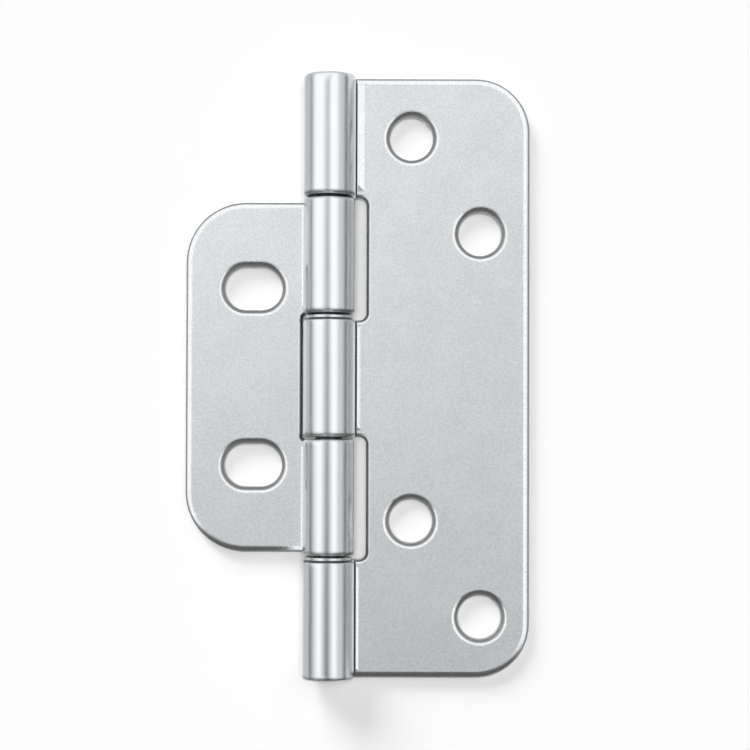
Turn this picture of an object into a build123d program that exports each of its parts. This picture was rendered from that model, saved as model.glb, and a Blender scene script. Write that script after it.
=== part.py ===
from build123d import *
from math import asin, degrees, radians, tan
import os

# Pressed steel hinge with one tall leaf, one short leaf and a rolled barrel of five knuckles.
# It lies flat: leaf backs on z = 0, pin along Y at x = 0, tall leaf towards +X, face towards +Z.
# All sizes are in millimetres.

# Sheet and barrel
sheet = 2.0
barrel_diameter = 8.5

# Leaves, measured from the pin axis
large_height = 100.0
large_reach = 33.4
large_corner = 9.0
small_height = 58.3
small_reach = 23.9
small_corner = 10.0
small_notch = 20.8
small_barrel_overhang = 0.35

# Running fits along and around the pin
running_gap = 0.4
washer_play = 0.3
swing_clearance = 0.05
washer_clearance = 0.05

# Space between the barrel and the edge of each cut-out, and the radius of its corners
large_cut_space = 1.93
large_cut_corner = 1.2
small_cut_space = 0.2
small_cut_corner = 0.6

# Screw holes of the large leaf and slots of the small leaf
hole_diameter = 7.2
inner_column = 13.65
outer_column_margin = 8.25
end_hole_margin = 10.0
middle_hole_spacing = 48.0
slot_width = 7.1
slot_length = 9.6
slot_distance = 12.65
slot_spacing = 29.5

# Pressed outline of each leaf: the face rolls down into a soft slope, then turns over sharply
edge_slope_width = 0.7
edge_slope_angle = 24.0
edge_roll_radius = 1.75
edge_turn_radius = 0.5

# Rounded edges of the holes, the cut-outs and the back
hole_round = 1.1
cut_round = 0.7
back_round = 0.5

# Where the lip of the roll bites into the face it leaves a groove and pushes up a low ridge beside
# it. The ridge starts at its reach and ends at its crest, both measured from the side of the
# barrel. It is broad at the head, hollow in the middle, and narrow at the foot and on the small leaf.
head_ridge_reach = 1.65
head_ridge_hollow = 1.0
head_ridge_angle = 9.0
middle_ridge_reach = 1.45
middle_ridge_hollow = 5.2
middle_ridge_angle = 10.0
large_ridge_crest = 0.45
foot_ridge_reach = 0.8
foot_ridge_crest = 0.36
small_ridge_reach = 0.45
small_ridge_crest = 0.12
narrow_ridge_hollow = 0.5
narrow_ridge_angle = 13.0
ridge_end_space = 1.15
groove_depth = 0.45
groove_wall = 0.4
lip_gap = 0.12

# Pin and thrust washers
pin_recess = 0.4
pin_chamfer = 0.4
washer_diameter = 7.7
washer_thickness = 0.6
washer_round = 0.15

barrel_radius = barrel_diameter / 2
small_barrel_length = small_height + 2 * small_barrel_overhang
pin_radius = barrel_radius - sheet
roll_start = pin_radius
washer_space = washer_thickness + washer_play

# Ends of the knuckles along the pin. The cut-outs of the large leaf leave a bare gap above each
# small-leaf knuckle and room for a washer below it, so the small leaf stays centred.
small_knuckles = [
    (small_notch / 2, small_barrel_length / 2),
    (-small_barrel_length / 2, -small_notch / 2),
]
large_knuckles = [
    (small_barrel_length / 2 + running_gap, large_height / 2),
    (-small_notch / 2 + running_gap, small_notch / 2 - washer_space),
    (-large_height / 2, -small_barrel_length / 2 - washer_space),
]

# One ridge beside each knuckle: its reach, its crest, the radius of its hollow and its slope
large_ridges = [
    (head_ridge_reach, large_ridge_crest, head_ridge_hollow, head_ridge_angle),
    (middle_ridge_reach, large_ridge_crest, middle_ridge_hollow, middle_ridge_angle),
    (foot_ridge_reach, foot_ridge_crest, narrow_ridge_hollow, narrow_ridge_angle),
]
small_ridges = [
    (small_ridge_reach, small_ridge_crest, narrow_ridge_hollow, narrow_ridge_angle)
] * len(small_knuckles)


def gaps_between(knuckles):
    """The open lengths between one leaf's own knuckles."""
    ordered = sorted(knuckles)
    return [(low[1], high[0]) for low, high in zip(ordered, ordered[1:])]


def side_face(lines):
    """A closed outline drawn in x and z, stood up in the plane y = 0."""
    return Plane.XZ * make_face(lines)


def along_pin(face, low, high):
    """A section in the plane y = 0, drawn out along the pin from low to high."""
    return Pos(0, high, 0) * extrude(face, high - low)


def ridge_and_groove(ridge, low, high):
    """The ridge beside a knuckle, sloped down at both ends, and what is pressed out along it."""
    reach, crest_space, hollow_radius, angle = ridge
    start = (barrel_radius + reach, sheet)
    hollow = CenterArc((start[0], sheet + hollow_radius), hollow_radius, -90, -angle)
    crest_x = barrel_radius + crest_space
    slope = tan(radians(angle))
    top = (hollow @ 1).Y + ((hollow @ 1).X - crest_x) * slope
    under = Polyline(
        hollow @ 1, (crest_x, top), (crest_x, sheet / 2), (start[0], sheet / 2), start
    )
    ends = (low + ridge_end_space, high - ridge_end_space)
    bead = along_pin(side_face([hollow, under]), *ends)
    for end, inward in zip(ends, (1, -1)):
        full = end + inward * (top - sheet) / slope
        above = Polyline((end, sheet), (full, top), (full, 2 * sheet), (end, 2 * sheet), close=True)
        bead -= extrude(Plane.YZ * make_face(above), 2 * barrel_diameter)
    inner, floor = roll_start - sheet, sheet - groove_depth
    groove = Polyline(
        (crest_x, top), (crest_x - groove_wall, floor), (inner, floor),
        (inner, 2 * sheet), (crest_x, 2 * sheet), close=True,
    )
    return bead, along_pin(side_face(groove), low - sheet, high + sheet)


def leaf_blank(reach, height, corner, knuckles, cut_space, cut_corner):
    """Plan of the flat leaf, from where the roll starts out to the far edge."""
    width = reach - roll_start
    plan = Pos(roll_start + width / 2, 0) * Rectangle(width, height)
    plan = fillet(plan.vertices().group_by(Axis.X)[-1], corner)
    cut_reach = barrel_radius + cut_space
    for low, high in gaps_between(knuckles):
        cut = Pos(cut_reach / 2, (low + high) / 2) * Rectangle(cut_reach, high - low)
        plan -= fillet(cut.vertices().group_by(Axis.X)[-1], cut_corner)
    return plan


def same_edges(solid, edges):
    """The solid's edges that lie where the given ones lay before an earlier rounding."""
    places = [edge.center() for edge in edges]
    return [
        edge
        for edge in solid.edges()
        if any((edge.center() - place).length < 0.01 for place in places)
    ]


def level_edges(solid, height, beyond):
    """The solid's edges that lie level at a height, farther out than a given x."""
    return [
        edge
        for edge in solid.edges()
        if edge.center().X > beyond
        and max(abs(corner.Z - height) for corner in (edge @ 0, edge @ 0.5, edge @ 1)) < 0.001
    ]


def flat_leaf(plan, openings, cut_space):
    """The flat leaf with its holes, its pressed outline and its rounded edges."""
    plate = extrude(plan - openings, sheet)
    back, face = plate.faces().filter_by(Axis.Z).sort_by(Axis.Z)
    rolled_side = plate.faces().filter_by(Axis.X).sort_by(Axis.X)[0].center().X + 0.01
    cut_side = barrel_radius + cut_space + 0.01
    outline = face.outer_wire().edges().filter_by(lambda edge: edge.center().X > cut_side)
    rims = [edge for wire in face.inner_wires() for edge in wire.edges()]
    cut_outs = face.edges().filter_by(lambda edge: rolled_side < edge.center().X < cut_side)
    back_edges = back.outer_wire().edges().filter_by(lambda edge: edge.center().X > rolled_side)
    drop = edge_slope_width * tan(radians(edge_slope_angle))
    plate = chamfer(outline, edge_slope_width, drop, reference=face)
    face = plate.faces().filter_by(Axis.Z).sort_by(Axis.Z)[-1]
    brink = face.outer_wire().edges().filter_by(lambda edge: edge.center().X > cut_side)
    plate = fillet(brink, edge_roll_radius)
    plate = fillet(level_edges(plate, sheet - drop, rolled_side), edge_turn_radius)
    plate = fillet(same_edges(plate, rims), hole_round)
    plate = fillet(same_edges(plate, cut_outs), cut_round)
    return fillet(same_edges(plate, back_edges), back_round)


def knuckle(low, high, bore_radius):
    """One knuckle: the sheet runs under the pin, round it, and down to a lip on its own leaf."""
    lip_height = sheet - groove_depth + lip_gap
    lip_angle = degrees(asin((barrel_radius - lip_height) / barrel_radius))
    centre = (0, barrel_radius)
    turn = 270 + lip_angle
    inner_level = barrel_radius - bore_radius
    outside = CenterArc(centre, barrel_radius, -90, -turn)
    inside = CenterArc(centre, bore_radius, -lip_angle, turn)
    lip = Line(outside @ 1, inside @ 0)
    flat = Polyline((0, inner_level), (roll_start, inner_level), (roll_start, 0), (0, 0))
    roll = along_pin(side_face([outside, lip, inside, flat]), low, high)
    ends = roll.faces().filter_by(Axis.Y).edges()
    rim = [
        edge
        for edge in ends
        if Vector(edge.center().X, 0, edge.center().Z - barrel_radius).length > barrel_radius - 0.01
        or (edge.geom_type == GeomType.CIRCLE and abs(edge.radius - barrel_radius) < 0.01)
    ]
    return fillet(rim, back_round)


def rolled_leaf(flat, knuckles, ridges, bore_radius):
    """A whole leaf on the +X side: its flat part, the ridges beside the barrel and its knuckles."""
    leaf = flat
    for (low, high), ridge in zip(knuckles, ridges):
        bead, groove = ridge_and_groove(ridge, low, high)
        leaf = leaf + bead - groove
    for low, high in knuckles:
        leaf += knuckle(low, high, bore_radius)
    return leaf.clean()


def large_leaf():
    plan = leaf_blank(
        large_reach, large_height, large_corner, large_knuckles, large_cut_space, large_cut_corner
    )
    outer_column = large_reach - outer_column_margin
    end_row = large_height / 2 - end_hole_margin
    middle_row = middle_hole_spacing / 2
    places = [
        (inner_column, end_row),
        (outer_column, middle_row),
        (inner_column, -middle_row),
        (outer_column, -end_row),
    ]
    holes = [Pos(x, y) * Circle(hole_diameter / 2) for x, y in places]
    flat = flat_leaf(plan, holes, large_cut_space)
    return rolled_leaf(flat, large_knuckles, large_ridges, pin_radius)


def small_leaf():
    plan = leaf_blank(
        small_reach, small_height, small_corner, small_knuckles, small_cut_space, small_cut_corner
    )
    slots = [
        Pos(slot_distance, side * slot_spacing / 2) * SlotOverall(slot_length, slot_width)
        for side in (1, -1)
    ]
    flat = flat_leaf(plan, slots, small_cut_space)
    leaf = rolled_leaf(flat, small_knuckles, small_ridges, pin_radius + swing_clearance)
    return mirror(leaf, about=Plane.YZ)


def pin():
    length = large_height - 2 * pin_recess
    rod = extrude(Plane.XZ * Circle(pin_radius), length / 2, both=True)
    rod = chamfer(rod.edges().filter_by(GeomType.CIRCLE), pin_chamfer)
    return Pos(0, 0, barrel_radius) * rod


def washer(seat):
    """A thrust washer that sits with its lower side at the given place along the pin."""
    ring = Circle(washer_diameter / 2) - Circle(pin_radius + washer_clearance)
    disc = along_pin(Plane.XZ * ring, seat, seat + washer_thickness)
    disc = fillet(disc.edges().filter_by(GeomType.CIRCLE), washer_round)
    return Pos(0, 0, barrel_radius) * disc


os.makedirs("parts", exist_ok=True)
nodes = {
    "large_leaf": large_leaf(),
    "small_leaf": small_leaf(),
    "hinge_pin": pin(),
    "upper_washer": washer(large_knuckles[1][1]),
    "lower_washer": washer(large_knuckles[2][1]),
}
for name, shape in nodes.items():
    export_step(shape, f"parts/{name}.step")
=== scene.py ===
"""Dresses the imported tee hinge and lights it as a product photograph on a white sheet.

Lengths are in metres and directions are the frame's: +X across the tall leaf, +Y along the pin to
the head of the leaves, +Z out of the pressed face. Every visible piece is a CAD node, so the script
makes no new piece of the hinge: it gives the nodes their materials, then adds the floor, the lamps,
two cards for the reflections, the surroundings and a camera.
"""

from math import cos, pi, radians, sin

import bpy
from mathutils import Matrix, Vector


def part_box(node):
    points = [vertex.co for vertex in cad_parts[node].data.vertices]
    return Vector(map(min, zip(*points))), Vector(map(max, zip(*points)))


# Camera: almost straight above the hinge, a little towards the foot of the leaves
CAMERA_PLACE = (0.00768, -0.01262, 0.3193)
CAMERA_TILT = radians(1.17)
CAMERA_ROLL = radians(0.17)
CAMERA_SHIFT = 0.052
CAMERA_NEAR = 0.01
FIELD_OF_VIEW = radians(22.28)

WHITE = (1.0, 1.0, 1.0, 1.0)

# Floor: a white sheet under the backs of the leaves, on a background of the same white
FLOOR_HALF_WIDTH = 0.16
FLOOR_DROP = 0.00002
FLOOR_COLOUR = (0.93, 0.93, 0.93, 1.0)
BACKGROUND = 0.98

# Lamps for the white sheet: where each stands (degrees from overhead, and round from +X), how wide
# it is in degrees, and its share of the light. Together they light a level sheet to SHEET_LIGHT.
# They don't show in the metal, which reflects the surroundings below.
SHEET_LIGHT = 1.055
LAMPS = {
    "overhead_lamp": (0.0, 0.0, 28.0, 0.61),
    "head_left_lamp": (64.0, 122.0, 31.0, 0.29),
    "right_lamp": (36.0, 35.0, 30.0, 0.10),
}

# Surroundings: how bright each part is, against the white panels. The ceiling between the panels
# has a left and a right half, each with its brightness towards the foot and towards the head.
PANEL_STRENGTH = 1.45
CEILING_LEFT = (0.543, 0.872)
CEILING_RIGHT = (0.490, 0.652)
RIGHT_WALL = 0.60
RIGHT_HORIZON = 0.18
LEFT_HORIZON = 0.05
HEAD_HORIZON = 0.35
FOOT_SIDE = 0.09
FOOT_HORIZON = 0.34

# Where each part of the surroundings begins and where it is full. A direction is given as the slope
# that a level mirror would need to show it, so 0 is straight up and 1 is the horizon. Positive is
# to the right or to the head, and for the foot side it is to the foot.
HEAD_HALF = (-0.06, 0.10)
RIGHT_HALF = (-0.08, 0.08)
LEFT_PANEL_EDGE = (-0.12, -0.18)
RIGHT_PANEL_EDGE = (0.07, 0.12)
HEAD_PANEL_EDGE = (0.11, 0.22)
RIGHT_WALL_EDGE = (0.33, 0.42)
RIGHT_HORIZON_EDGE = (0.66, 0.80)
HEAD_HORIZON_EDGE = (0.42, 0.75)
FOOT_SIDE_EDGE = (0.05, 0.15)
FOOT_HORIZON_EDGE = (0.50, 0.75)

# The left panel fades into the left horizon. The fade begins nearer overhead towards the foot than
# towards the head.
LEFT_FADE_TURN = (-0.07, 0.09)
LEFT_FADE_START = (-0.28, -0.58)
LEFT_FADE_END = -1.10

# The foot side is a wedge: left and right it begins later, by this share of the slope to the side
FOOT_TAPER = 0.35

# Directions below the floor count as no deeper than this part of Z
DEEPEST = -0.5

# Reflector: a narrow card close over the barrel that only shows in reflections. It is white, with
# the dark middle line of the barrel on it, which is broader and darker towards the foot. Each pair
# is for the foot and the head, and changes evenly within LINE_REACH of the card's half length. The
# line darkens from LINE_LEFT and from LINE_RIGHT inwards. Each side alone would be full at its
# own place, and the lighter of the two counts.
CARD_RISE = 0.004
CARD_RIGHT = 0.0030
CARD_LEFT = {"foot": -0.0068, "head": -0.0042}
LINE_REACH = 0.86
LINE_LEFT = (-0.0041, -0.0034)
LINE_LEFT_FULL = 0.0002
LINE_RIGHT = (0.0027, 0.0010)
LINE_RIGHT_FULL = -0.0009
LINE_DEPTH = (0.97, 0.64)

# Grey card on the floor left of the pin, which also only shows in reflections
FLOOR_CARD = 0.75
FLOOR_CARD_SIDE = -0.008

# Zinc plate: reflectance, and the sizes of its grain and clouds. On the barrel the grain is drawn
# out along the pin. The barrel ends just outside its own radius.
ZINC = (0.695, 0.714, 0.724, 1.0)
ZINC_DARK = (0.615, 0.637, 0.649, 1.0)
GRAIN = 0.0003
GLOSS_GRAIN = 0.00048
RELIEF_STREAKS = 0.00024
CLOUD = 0.006
CLOUD_SHARE = 0.25
STREAK_STRETCH = (1, 14, 1)
RELIEF_STRETCH = (1, 10, 1)
RELIEF_DEPTH = 0.000004
BARREL_END = (1.02, 1.0608)

# Most values of a noise lie in NOISE_RANGE. The plate's colour needs a narrower one on the flats,
# and on the barrel it only goes over the middle of its shades.
NOISE_RANGE = (0.3, 0.7)
FLAT_RANGE = (0.35, 0.65)
STREAK_SHADES = (0.42, 0.58)
FLAT_ROUGHNESS = (0.17, 0.23)
BARREL_ROUGHNESS = (0.17, 0.25)

# Pin and washers: bare steel with a little zinc, and the sizes of its patches and grain
STEEL = (0.60, 0.60, 0.61, 1.0)
PIN_PATCHES = 0.0008
PIN_GRAIN = 0.0005
PIN_STRETCH = (1, 8, 1)
PIN_ROUGHNESS = (0.20, 0.32)
TURNING_MARKS = 40000.0
TURNING_DEPTH = 0.15
WASHER_PATCHES = 0.0006
WASHER_GRAIN = 0.0004
WASHER_ROUGHNESS = (0.22, 0.34)
WASHER_RELIEF_GRAIN = 0.0003
WASHER_RELIEF_DEPTH = 0.000003

# The cut edges of the sheet are painted dull and dark from where the face turns down. This is
# partly the dull, thinly plated sheared edge and partly a painted reflection of the dark horizon.
# On the steep wall below, CUT_WALL of that darkening is taken off again. The limits are parts of
# the surface's own direction: how level the darkened edge and the wall are, and how far the ends of
# the knuckles and of the pin face along the pin.
DULL_SHADED_EDGE = (0.35, 0.35, 0.355, 1.0)
CUT_ROUGHNESS = 0.42
CUT_WALL = 0.35
DARK_EDGE_LEVEL = (0.95, 0.87)
WALL_LEVEL = (0.45, 0.10)
KNUCKLE_END = (0.90, 0.97)
PIN_END = (0.3, 0.6)

# The ends of the knuckles are worn round this far in, besides their modelled rounding
EDGE_WEAR = 0.0010
WEAR_SAMPLES = 6

# Their rims towards the foot are painted darker where they start to turn down, a painted
# reflection of the dark foot side. The limits are the part of the worn surface's direction that
# points to the foot.
RIM_SHADE = 0.93
RIM_START = (0.12, 0.24)
RIM_END = (0.40, 0.62)

# Below each washer the seam is painted dark as shade: how far below, and half its width
SEAM_SHADE = 0.85
SEAM_PLACE = 0.00008
SEAM_WIDTH = (0.00012, 0.00026)

# The narrow gaps of the barrel are painted dark as shade where a place is hemmed in, so they show
# as dark lines. The limits are how open a place is: below the first it is all painted shade, above
# the second there is none.
PAINTED_SHADE = (0.05, 0.05, 0.052, 1.0)
GAP_REACH = 0.0005
GAP_OPENNESS = (0.1, 0.5)
GAP_SAMPLES = 8


class Nodes:
    """Short names for the nodes of one material or world."""

    def __init__(self, tree):
        self.tree = tree
        tree.nodes.clear()

    def put(self, socket, value):
        if isinstance(value, bpy.types.NodeSocket):
            self.tree.links.new(value, socket)
        else:
            socket.default_value = value

    def add(self, kind, inputs=(), **settings):
        node = self.tree.nodes.new(kind)
        for name, value in settings.items():
            setattr(node, name, value)
        for name, value in dict(inputs).items():
            self.put(node.inputs[name], value)
        return node

    def math(self, operation, *values):
        node = self.add("ShaderNodeMath", operation=operation)
        for socket, value in zip(node.inputs, values):
            self.put(socket, value)
        return node.outputs[0]

    def ramp(self, value, start, end, low=0.0, high=1.0):
        """Goes evenly from low to high while value goes from start to end."""
        inputs = {"Value": value, "From Min": start, "From Max": end, "To Min": low, "To Max": high}
        return self.add("ShaderNodeMapRange", inputs).outputs["Result"]

    def step(self, value, start, end, low=0.0, high=1.0):
        """Goes smoothly from low to high while value goes from start to end."""
        inputs = {"Value": value, "From Min": start, "From Max": end, "To Min": low, "To Max": high}
        node = self.add("ShaderNodeMapRange", inputs, interpolation_type="SMOOTHSTEP")
        return node.outputs["Result"]

    def blend(self, share, first, second):
        """A number between first and second."""
        inputs = {"Factor": share, "A": first, "B": second}
        return self.add("ShaderNodeMix", inputs, data_type="FLOAT").outputs["Result"]

    def colour(self, share, first, second):
        """A colour between first and second."""
        node = self.add("ShaderNodeMix", data_type="RGBA")
        for index, value in ((0, share), (6, first), (7, second)):
            self.put(node.inputs[index], value)
        return node.outputs[2]

    def noise(self, place, size, detail=2.0, stretch=(1.0, 1.0, 1.0)):
        """Noise with features about as large as size, drawn out by stretch."""
        scale = tuple(1 / s for s in stretch)
        mapping = self.add("ShaderNodeMapping", {"Vector": place, "Scale": scale})
        inputs = {"Vector": mapping.outputs[0], "Scale": 1 / size, "Detail": detail}
        return self.add("ShaderNodeTexNoise", inputs).outputs[0]

    def openness(self, reach):
        """0 deep in a narrow gap, 1 in the open."""
        node = self.add("ShaderNodeAmbientOcclusion", {"Distance": reach}, samples=GAP_SAMPLES)
        return node.outputs["AO"]

    def bump(self, height, depth, normal=None):
        """The surface's direction with a fine relief, on top of normal if that is given."""
        inputs = {"Height": height, "Distance": depth, "Strength": 1.0}
        if normal is not None:
            inputs["Normal"] = normal
        return self.add("ShaderNodeBump", inputs).outputs[0]

    def parts(self, vector):
        """The X, Y and Z of a vector, by name."""
        return self.add("ShaderNodeSeparateXYZ", {"Vector": vector}).outputs

    def facing(self):
        """The parts of the direction that the surface faces, in the piece's own directions."""
        return self.parts(self.add("ShaderNodeTexCoord").outputs["Normal"])


def no_cut_edge(nodes, place):
    """For a metal whose edges look like the rest of it."""
    return 0.0


def metal(name, base, roughness, normal_of, cut_edge=no_cut_edge):
    """A metal whose colour, roughness and relief come from its nodes."""
    material = bpy.data.materials.new(name)
    material.use_nodes = True
    nodes = Nodes(material.node_tree)
    place = nodes.add("ShaderNodeTexCoord").outputs["Object"]
    shader = nodes.add("ShaderNodeBsdfPrincipled", {"Metallic": 1.0})
    # Painted shade: narrow gaps take the near-black shade colour
    gap_shade = nodes.step(nodes.openness(GAP_REACH), *GAP_OPENNESS, 1.0, 0.0)
    # Cut edges and knuckle ends take the dull edge colour, partly a painted reflection of the
    # horizon
    cut = cut_edge(nodes, place)
    outside = nodes.colour(cut, base(nodes, place), DULL_SHADED_EDGE)
    gloss = nodes.blend(cut, roughness(nodes, place), CUT_ROUGHNESS)
    nodes.put(shader.inputs["Base Color"], nodes.colour(gap_shade, outside, PAINTED_SHADE))
    nodes.put(shader.inputs["Roughness"], gloss)
    nodes.put(shader.inputs["Normal"], normal_of(nodes, place))
    nodes.add("ShaderNodeOutputMaterial", {"Surface": shader.outputs[0]})
    return material


def from_pin(nodes, place, pin_height):
    """Distance of a point from the pin axis."""
    parts = nodes.parts(place)
    height = nodes.math("SUBTRACT", parts["Z"], pin_height)
    across = nodes.math("MULTIPLY", parts["X"], parts["X"])
    return nodes.math("SQRT", nodes.math("ADD", across, nodes.math("MULTIPLY", height, height)))


def seam(nodes, place, seats):
    """The share of painted shade in the seam below each of the two washers, 0 elsewhere."""
    along = nodes.parts(place)["Y"]
    spaces = [
        nodes.math("ABSOLUTE", nodes.math("SUBTRACT", along, seat - SEAM_PLACE)) for seat in seats
    ]
    return nodes.step(nodes.math("MINIMUM", *spaces), *SEAM_WIDTH, SEAM_SHADE, 0.0)


def zinc_sheet(pin_height, barrel_radius, seats):
    """Satin zinc plate: fine grain on the flat leaves, drawn out into streaks on the barrel."""

    def on_barrel(nodes, place):
        """1 on the barrel, 0 on the flat leaves."""
        start, end = (barrel_radius * share for share in BARREL_END)
        return nodes.step(from_pin(nodes, place, pin_height), start, end, 1.0, 0.0)

    def worn_normal(nodes, place):
        """The surface's direction, with the edges of the barrel worn round."""
        wear = nodes.math("MULTIPLY", on_barrel(nodes, place), EDGE_WEAR)
        return nodes.add("ShaderNodeBevel", {"Radius": wear}, samples=WEAR_SAMPLES).outputs[0]

    def rim_and_seam_shade(nodes, place):
        """How much painted shade the barrel takes in its seams, and painted dark reflection on its
        rims.
        """
        to_foot = nodes.math("MULTIPLY", nodes.parts(worn_normal(nodes, place))["Y"], -1.0)
        fading = nodes.step(to_foot, *RIM_END, RIM_SHADE, 0.0)
        rim = nodes.math("MULTIPLY", nodes.step(to_foot, *RIM_START), fading)
        both = nodes.math("MAXIMUM", rim, seam(nodes, place, seats))
        return nodes.math("MULTIPLY", both, on_barrel(nodes, place))

    def base(nodes, place):
        mixed = nodes.blend(CLOUD_SHARE, nodes.noise(place, GRAIN, 3.0), nodes.noise(place, CLOUD))
        flat = nodes.step(mixed, *FLAT_RANGE)
        streaks = nodes.noise(place, GRAIN, stretch=STREAK_STRETCH)
        rolled = nodes.step(streaks, *NOISE_RANGE, *STREAK_SHADES)
        unshaded = nodes.colour(nodes.blend(on_barrel(nodes, place), flat, rolled), ZINC_DARK, ZINC)
        # Painted shade in the seams and a painted dark reflection on the rims towards the foot
        return nodes.colour(rim_and_seam_shade(nodes, place), unshaded, PAINTED_SHADE)

    def roughness(nodes, place):
        flat = nodes.step(nodes.noise(place, GLOSS_GRAIN), *NOISE_RANGE, *FLAT_ROUGHNESS)
        streaks = nodes.noise(place, GRAIN, stretch=STREAK_STRETCH)
        rolled = nodes.step(streaks, *NOISE_RANGE, *BARREL_ROUGHNESS)
        return nodes.blend(on_barrel(nodes, place), flat, rolled)

    def relief(nodes, place):
        grain = nodes.noise(place, GRAIN)
        streaks = nodes.noise(place, RELIEF_STREAKS, stretch=RELIEF_STRETCH)
        height = nodes.blend(on_barrel(nodes, place), grain, streaks)
        return nodes.bump(height, RELIEF_DEPTH, worn_normal(nodes, place))

    # Dull edge: partly the sheared edge's dull zinc, partly a painted reflection of the dark
    # horizon
    def cut_edge(nodes, place):
        facing = nodes.facing()
        level = nodes.math("ABSOLUTE", facing["Z"])
        wall_share = nodes.step(level, *WALL_LEVEL, 1.0, 1.0 - CUT_WALL)
        steep = nodes.math("MULTIPLY", nodes.step(level, *DARK_EDGE_LEVEL), wall_share)
        end = nodes.step(nodes.math("ABSOLUTE", facing["Y"]), *KNUCKLE_END)
        return nodes.blend(on_barrel(nodes, place), steep, end)

    return metal("zinc_sheet", base, roughness, relief, cut_edge)


def pin_steel(pin_height):
    """Drawn steel rod: turned end faces, and a side with faint streaks, painted as dark as gap
    shade.
    """

    def base(nodes, place):
        end = nodes.step(nodes.math("ABSOLUTE", nodes.facing()["Y"]), *PIN_END)
        unshaded = nodes.colour(nodes.noise(place, PIN_PATCHES), STEEL, ZINC_DARK)
        # Painted shade: the side, seen only in the barrel's gaps, takes the near-black shade colour
        return nodes.colour(end, PAINTED_SHADE, unshaded)

    def roughness(nodes, place):
        streaks = nodes.noise(place, PIN_GRAIN, stretch=PIN_STRETCH)
        return nodes.step(streaks, *NOISE_RANGE, *PIN_ROUGHNESS)

    def relief(nodes, place):
        turns = nodes.math("MULTIPLY", from_pin(nodes, place, pin_height), TURNING_MARKS)
        rings = nodes.math("MULTIPLY", nodes.math("SINE", turns), TURNING_DEPTH)
        return nodes.bump(nodes.math("ADD", rings, nodes.noise(place, PIN_GRAIN)), RELIEF_DEPTH)

    return metal("pin_steel", base, roughness, relief)


def washer_steel(seats):
    """Stamped and plated washer steel, a little darker than the leaves."""

    def base(nodes, place):
        unshaded = nodes.colour(nodes.noise(place, WASHER_PATCHES), STEEL, ZINC_DARK)
        # Painted shade in the seam below the washer
        return nodes.colour(seam(nodes, place, seats), unshaded, PAINTED_SHADE)

    def roughness(nodes, place):
        return nodes.step(nodes.noise(place, WASHER_GRAIN), *NOISE_RANGE, *WASHER_ROUGHNESS)

    def relief(nodes, place):
        return nodes.bump(nodes.noise(place, WASHER_RELIEF_GRAIN, 3.0), WASHER_RELIEF_DEPTH)

    return metal("washer_steel", base, roughness, relief)


def finish_node(node, material):
    slots = node.material_slots
    if slots:
        for each in slots:
            each.material = material
    else:
        node.data.materials.append(material)


def add_lamps():
    """Soft suns that light the white sheet and cast the shadows on it."""
    for name, (tilt, turn, width, share) in LAMPS.items():
        lamp = bpy.data.lights.new(name, "SUN")
        lamp.angle = radians(width)
        lamp.energy = pi * SHEET_LIGHT * share / cos(radians(tilt))
        tilt, turn = radians(tilt), radians(turn)
        towards = Vector((sin(tilt) * cos(turn), sin(tilt) * sin(turn), cos(tilt)))
        stand = bpy.data.objects.new(name, lamp)
        stand.rotation_euler = towards.to_track_quat("Z", "Y").to_euler()
        stand.visible_glossy = False
        bpy.context.scene.collection.objects.link(stand)


def flat_piece(name, finish, corners, faces):
    """A piece of the stage made of flat faces, and the nodes of its material, named finish."""
    mesh = bpy.data.meshes.new(name)
    mesh.from_pydata(corners, [], faces)
    piece = bpy.data.objects.new(name, mesh)
    bpy.context.scene.collection.objects.link(piece)
    material = bpy.data.materials.new(finish)
    material.use_nodes = True
    mesh.materials.append(material)
    return piece, Nodes(material.node_tree)


def on_floor(name, finish, left, right, height):
    """A level piece over the whole length of the floor, from left to right."""
    ends = (-FLOOR_HALF_WIDTH, FLOOR_HALF_WIDTH)
    corners = [(side, end, height) for end in ends for side in (left, right)]
    return flat_piece(name, finish, corners, [(0, 1, 3, 2)])


def glow(nodes, strength):
    """Makes a piece shine by itself."""
    light = nodes.add("ShaderNodeEmission", {"Strength": strength})
    nodes.add("ShaderNodeOutputMaterial", {"Surface": light.outputs[0]})


def only_in_reflections(card):
    for hidden_from in ("camera", "diffuse", "transmission", "shadow", "volume_scatter"):
        setattr(card, f"visible_{hidden_from}", False)


def add_card(barrel_top, half_length, joint_line):
    """The reflector over the barrel, wider on the foot side of the joint line."""
    height = barrel_top + CARD_RISE
    corners = []
    for left, along in (
        (CARD_LEFT["foot"], -half_length),
        (CARD_LEFT["foot"], joint_line),
        (CARD_LEFT["head"], joint_line),
        (CARD_LEFT["head"], half_length),
    ):
        corners += [(left, along, height), (CARD_RIGHT, along, height)]
    card, nodes = flat_piece("card", "card", corners, [(0, 1, 3, 2), (4, 5, 7, 6)])
    place = nodes.parts(nodes.add("ShaderNodeTexCoord").outputs["Object"])

    def by_length(values):
        """A value that changes evenly from the foot knuckle to the head knuckle."""
        reach = half_length * LINE_REACH
        return nodes.ramp(place["Y"], -reach, reach, *values)

    left_slope = nodes.ramp(place["X"], by_length(LINE_LEFT), LINE_LEFT_FULL)
    right_slope = nodes.ramp(place["X"], by_length(LINE_RIGHT), LINE_RIGHT_FULL)
    slopes = nodes.math("MINIMUM", left_slope, right_slope)
    line = nodes.math("MULTIPLY", slopes, by_length(LINE_DEPTH))
    glow(nodes, nodes.math("MULTIPLY", nodes.math("SUBTRACT", 1.0, line), PANEL_STRENGTH))
    only_in_reflections(card)


def add_floor_card():
    """The grey card, halfway between the floor and the backs of the leaves."""
    left, right, height = -FLOOR_HALF_WIDTH, FLOOR_CARD_SIDE, -FLOOR_DROP / 2
    card, nodes = on_floor("floor_card", "floor_card", left, right, height)
    glow(nodes, FLOOR_CARD)
    only_in_reflections(card)


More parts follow.
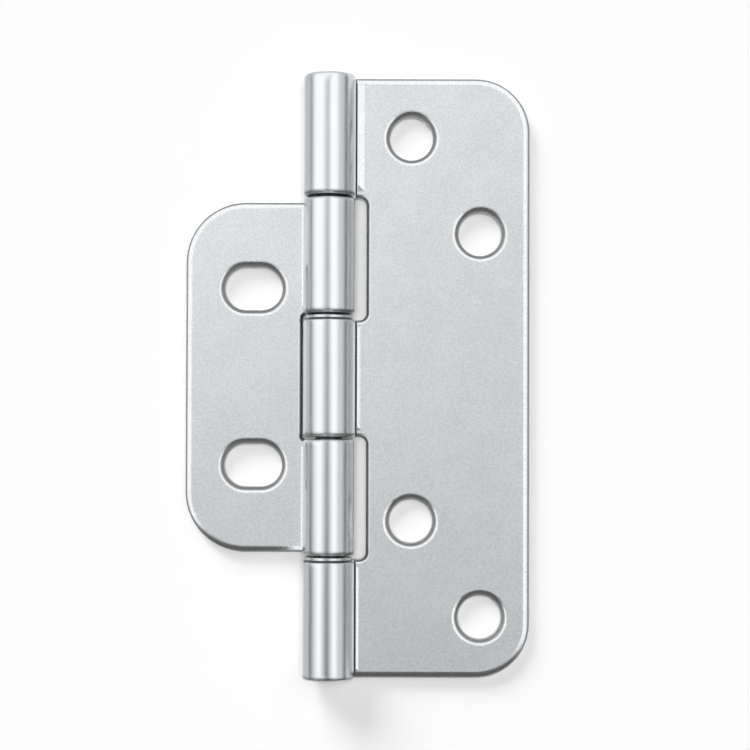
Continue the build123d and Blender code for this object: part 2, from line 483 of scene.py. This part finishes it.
def add_floor():
    left, right, height = -FLOOR_HALF_WIDTH, FLOOR_HALF_WIDTH, -FLOOR_DROP
    floor, nodes = on_floor("floor", "white_sheet", left, right, height)
    shader = nodes.add("ShaderNodeBsdfDiffuse", {"Color": FLOOR_COLOUR})
    nodes.add("ShaderNodeOutputMaterial", {"Surface": shader.outputs[0]})


def add_surroundings():
    """What the metal reflects: white panels left, right and towards the head of the leaves, a grey
    ceiling between them, a grey wall beyond the right panel, a dark foot side that is a little
    lighter at its horizon, and dark horizons elsewhere. The camera sees plain white instead.
    """
    world = bpy.data.worlds.new("surroundings")
    world.use_nodes = True
    world.cycles_visibility.diffuse = False
    bpy.context.scene.world = world
    nodes = Nodes(world.node_tree)
    direction = nodes.parts(nodes.add("ShaderNodeTexCoord").outputs["Generated"])
    below = nodes.math("ADD", nodes.math("MAXIMUM", direction["Z"], DEEPEST), 1.0)
    side = nodes.math("DIVIDE", direction["X"], below)
    head = nodes.math("DIVIDE", direction["Y"], below)
    narrowing = nodes.math("MULTIPLY", nodes.math("ABSOLUTE", side), FOOT_TAPER)
    foot = nodes.math("SUBTRACT", nodes.math("MULTIPLY", head, -1.0), narrowing)
    left_fade = (nodes.step(head, *LEFT_FADE_TURN, *LEFT_FADE_START), LEFT_FADE_END)

    left_half = nodes.step(head, *HEAD_HALF, *CEILING_LEFT)
    right_half = nodes.step(head, *HEAD_HALF, *CEILING_RIGHT)
    level = nodes.blend(nodes.step(side, *RIGHT_HALF), left_half, right_half)
    for slope, edge, brightness in (
        (side, LEFT_PANEL_EDGE, 1.0),
        (side, RIGHT_PANEL_EDGE, 1.0),
        (head, HEAD_PANEL_EDGE, 1.0),
        (side, RIGHT_WALL_EDGE, RIGHT_WALL),
        (side, RIGHT_HORIZON_EDGE, RIGHT_HORIZON),
        (side, left_fade, LEFT_HORIZON),
        (head, HEAD_HORIZON_EDGE, HEAD_HORIZON),
        (foot, FOOT_SIDE_EDGE, FOOT_SIDE),
        (foot, FOOT_HORIZON_EDGE, FOOT_HORIZON),
    ):
        level = nodes.blend(nodes.step(slope, *edge), level, brightness)

    strength = nodes.math("MULTIPLY", level, PANEL_STRENGTH)
    light = nodes.add("ShaderNodeBackground", {"Color": WHITE, "Strength": strength})
    white = nodes.add("ShaderNodeBackground", {"Color": WHITE, "Strength": BACKGROUND})
    seen = nodes.add("ShaderNodeLightPath").outputs["Is Camera Ray"]
    both = nodes.add("ShaderNodeMixShader")
    for socket, value in zip(both.inputs, (seen, light.outputs[0], white.outputs[0])):
        nodes.put(socket, value)
    nodes.add("ShaderNodeOutputWorld", {"Surface": both.outputs[0]})


def add_camera():
    lens = bpy.data.cameras.new("camera")
    lens.angle = FIELD_OF_VIEW
    lens.shift_y = CAMERA_SHIFT
    lens.clip_start = CAMERA_NEAR
    camera = bpy.data.objects.new("camera", lens)
    camera.location = CAMERA_PLACE
    camera.rotation_euler = (CAMERA_TILT, 0.0, CAMERA_ROLL)
    bpy.context.scene.collection.objects.link(camera)
    bpy.context.scene.camera = camera


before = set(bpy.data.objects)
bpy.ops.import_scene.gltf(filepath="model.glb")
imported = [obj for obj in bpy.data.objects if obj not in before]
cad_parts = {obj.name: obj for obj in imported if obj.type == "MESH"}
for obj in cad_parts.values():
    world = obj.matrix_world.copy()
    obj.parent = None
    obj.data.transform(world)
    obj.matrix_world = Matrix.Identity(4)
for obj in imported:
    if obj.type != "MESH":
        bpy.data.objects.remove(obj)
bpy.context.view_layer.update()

pin_low, pin_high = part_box("hinge_pin")
barrel_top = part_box("large_leaf")[1].z
pin_height = (pin_low.z + pin_high.z) / 2
seats = [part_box(name)[0].y for name in ("upper_washer", "lower_washer")]

zinc = zinc_sheet(pin_height, barrel_top - pin_height, seats)
pin_finish = pin_steel(pin_height)
washer_finish = washer_steel(seats)
finishes = {
    "large_leaf": zinc,
    "small_leaf": zinc,
    "hinge_pin": pin_finish,
    "upper_washer": washer_finish,
    "lower_washer": washer_finish,
}
for name, material in finishes.items():
    finish_node(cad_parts[name], material)

add_floor()
add_floor_card()
add_lamps()
add_card(barrel_top, pin_high.y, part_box("lower_washer")[1].y)
add_surroundings()
add_camera()
bpy.context.scene.view_settings.view_transform = "Standard"
